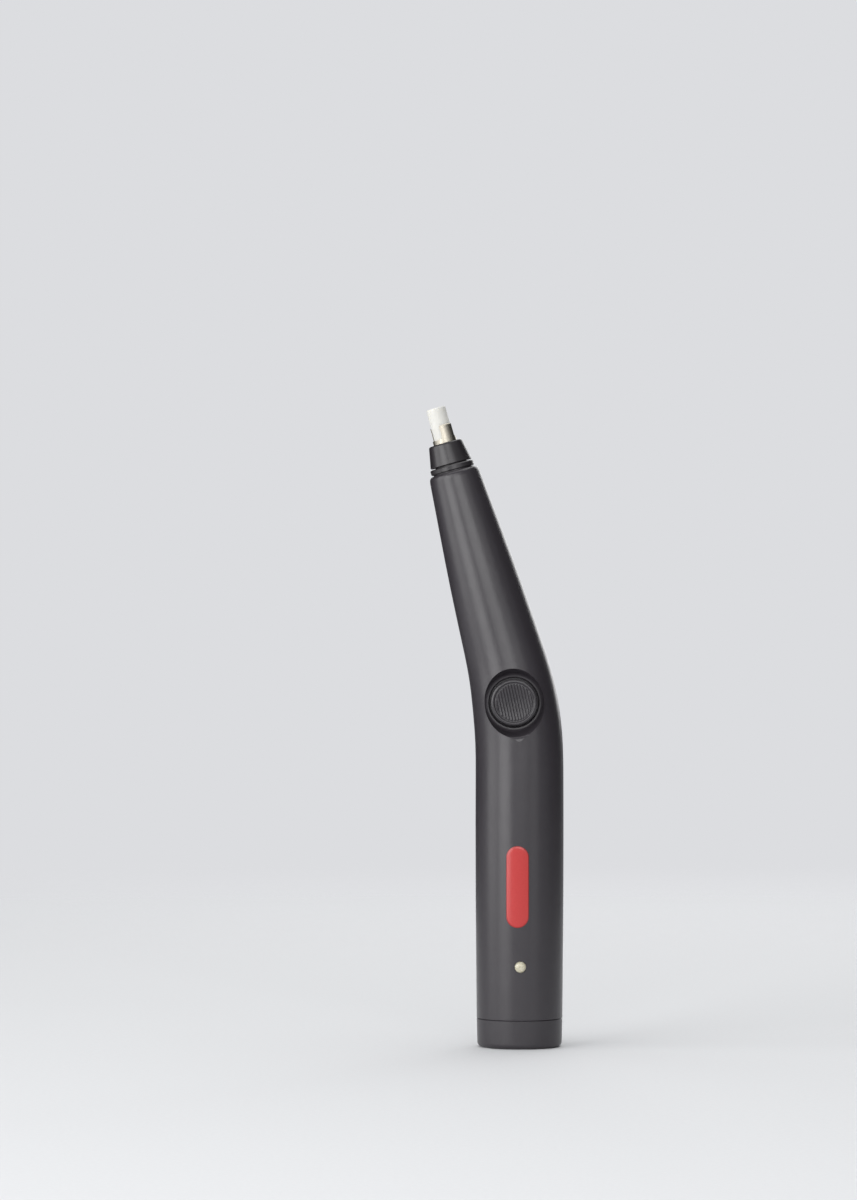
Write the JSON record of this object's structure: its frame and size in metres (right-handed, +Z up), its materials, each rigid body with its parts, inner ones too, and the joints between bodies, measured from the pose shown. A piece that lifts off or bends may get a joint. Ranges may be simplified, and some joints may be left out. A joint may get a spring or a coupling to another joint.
{
  "type": "electric eraser",
  "caption": "Bent-barrel rechargeable eraser: a round button at the bend runs a motor that spins a collet holding a white stick eraser; micro-USB port in the foot.",
  "frame": {"origin": "middle of the flat foot of the end cap, on the grip's axis", "axes": "+Z up the grip's axis to the bend; the button, light and label face -Y; the nose leans towards -X"},
  "size_m": [0.0334, 0.0217, 0.1561],
  "materials": {
    "case": "fine satin texture, charcoal",
    "case_cap": "satin, charcoal",
    "nose": "satin, near black",
    "button": "satin with fine ribs",
    "lens": "clear, frosted",
    "label": "printed film, plain red",
    "eraser": "soft white vinyl",
    "spring_steel": "bright drawn",
    "plated_steel": "nickel plate",
    "screw_steel": "black zinc",
    "brass": "turned",
    "bronze": "sintered, oiled",
    "copper": "enamelled wire",
    "iron": "stacked laminations",
    "magnet": "ferrite",
    "board": "solder mask",
    "chip": "moulded",
    "sleeve": "shrunk film",
    "soft": "soft",
    "wire": "insulation",
    "white_plastic": "moulded"
  },
  "bodies": {
    "housing": {"front_shell": "case", "rear_shell": "case", "end_cap": "case_cap", "nose_ring": "nose", "nose_cap": "nose", "case_screws": "screw_steel", "button_spring": "spring_steel", "switch_body": "chip", "switch_board": "board", "control_board": "board", "usb_shell": "plated_steel", "usb_tongue": "chip", "usb_contacts": "brass", "board_parts": "chip", "charge_light": "white_plastic", "light_lens": "lens", "grip_label": "label", "cell": "plated_steel", "cell_sleeve": "sleeve", "cell_tabs": "plated_steel", "board_leads": "wire", "motor_leads": "wire", "motor_can": "plated_steel", "motor_bell": "white_plastic", "motor_terminals": "brass", "motor_magnets": "magnet", "motor_brushes": "brass", "motor_sleeve": "soft", "front_bush": "bronze"},
    "button": {"push_button": "button", "switch_plunger": "chip"},
    "spindle": {"motor_shaft": "spring_steel", "rotor_core": "iron", "rotor_windings": "copper", "commutator": "copper", "drive_hub": "brass", "collet": "spring_steel", "thrust_washer": "white_plastic"},
    "eraser": {"eraser_stick": "eraser"}
  },
  "joints": [
    {"name": "button_press", "type": "slide", "parent": "housing", "child": "button", "axis": [0, 1, 0], "range_m": [0, 0.0006], "stiffness_N_per_m": 900, "springref_m": -0.0008, "deforming": ["button_spring"]},
    {"name": "spindle_spin", "type": "hinge", "parent": "housing", "child": "spindle", "pos_m": [0, 0, 0.0827], "axis": [-0.2706, 0, 0.9627], "continuous": true},
    {"name": "eraser_feed", "type": "slide", "parent": "spindle", "child": "eraser", "axis": [-0.2706, 0, 0.9627], "range_m": [-0.0028, 0.02]}
  ]
}
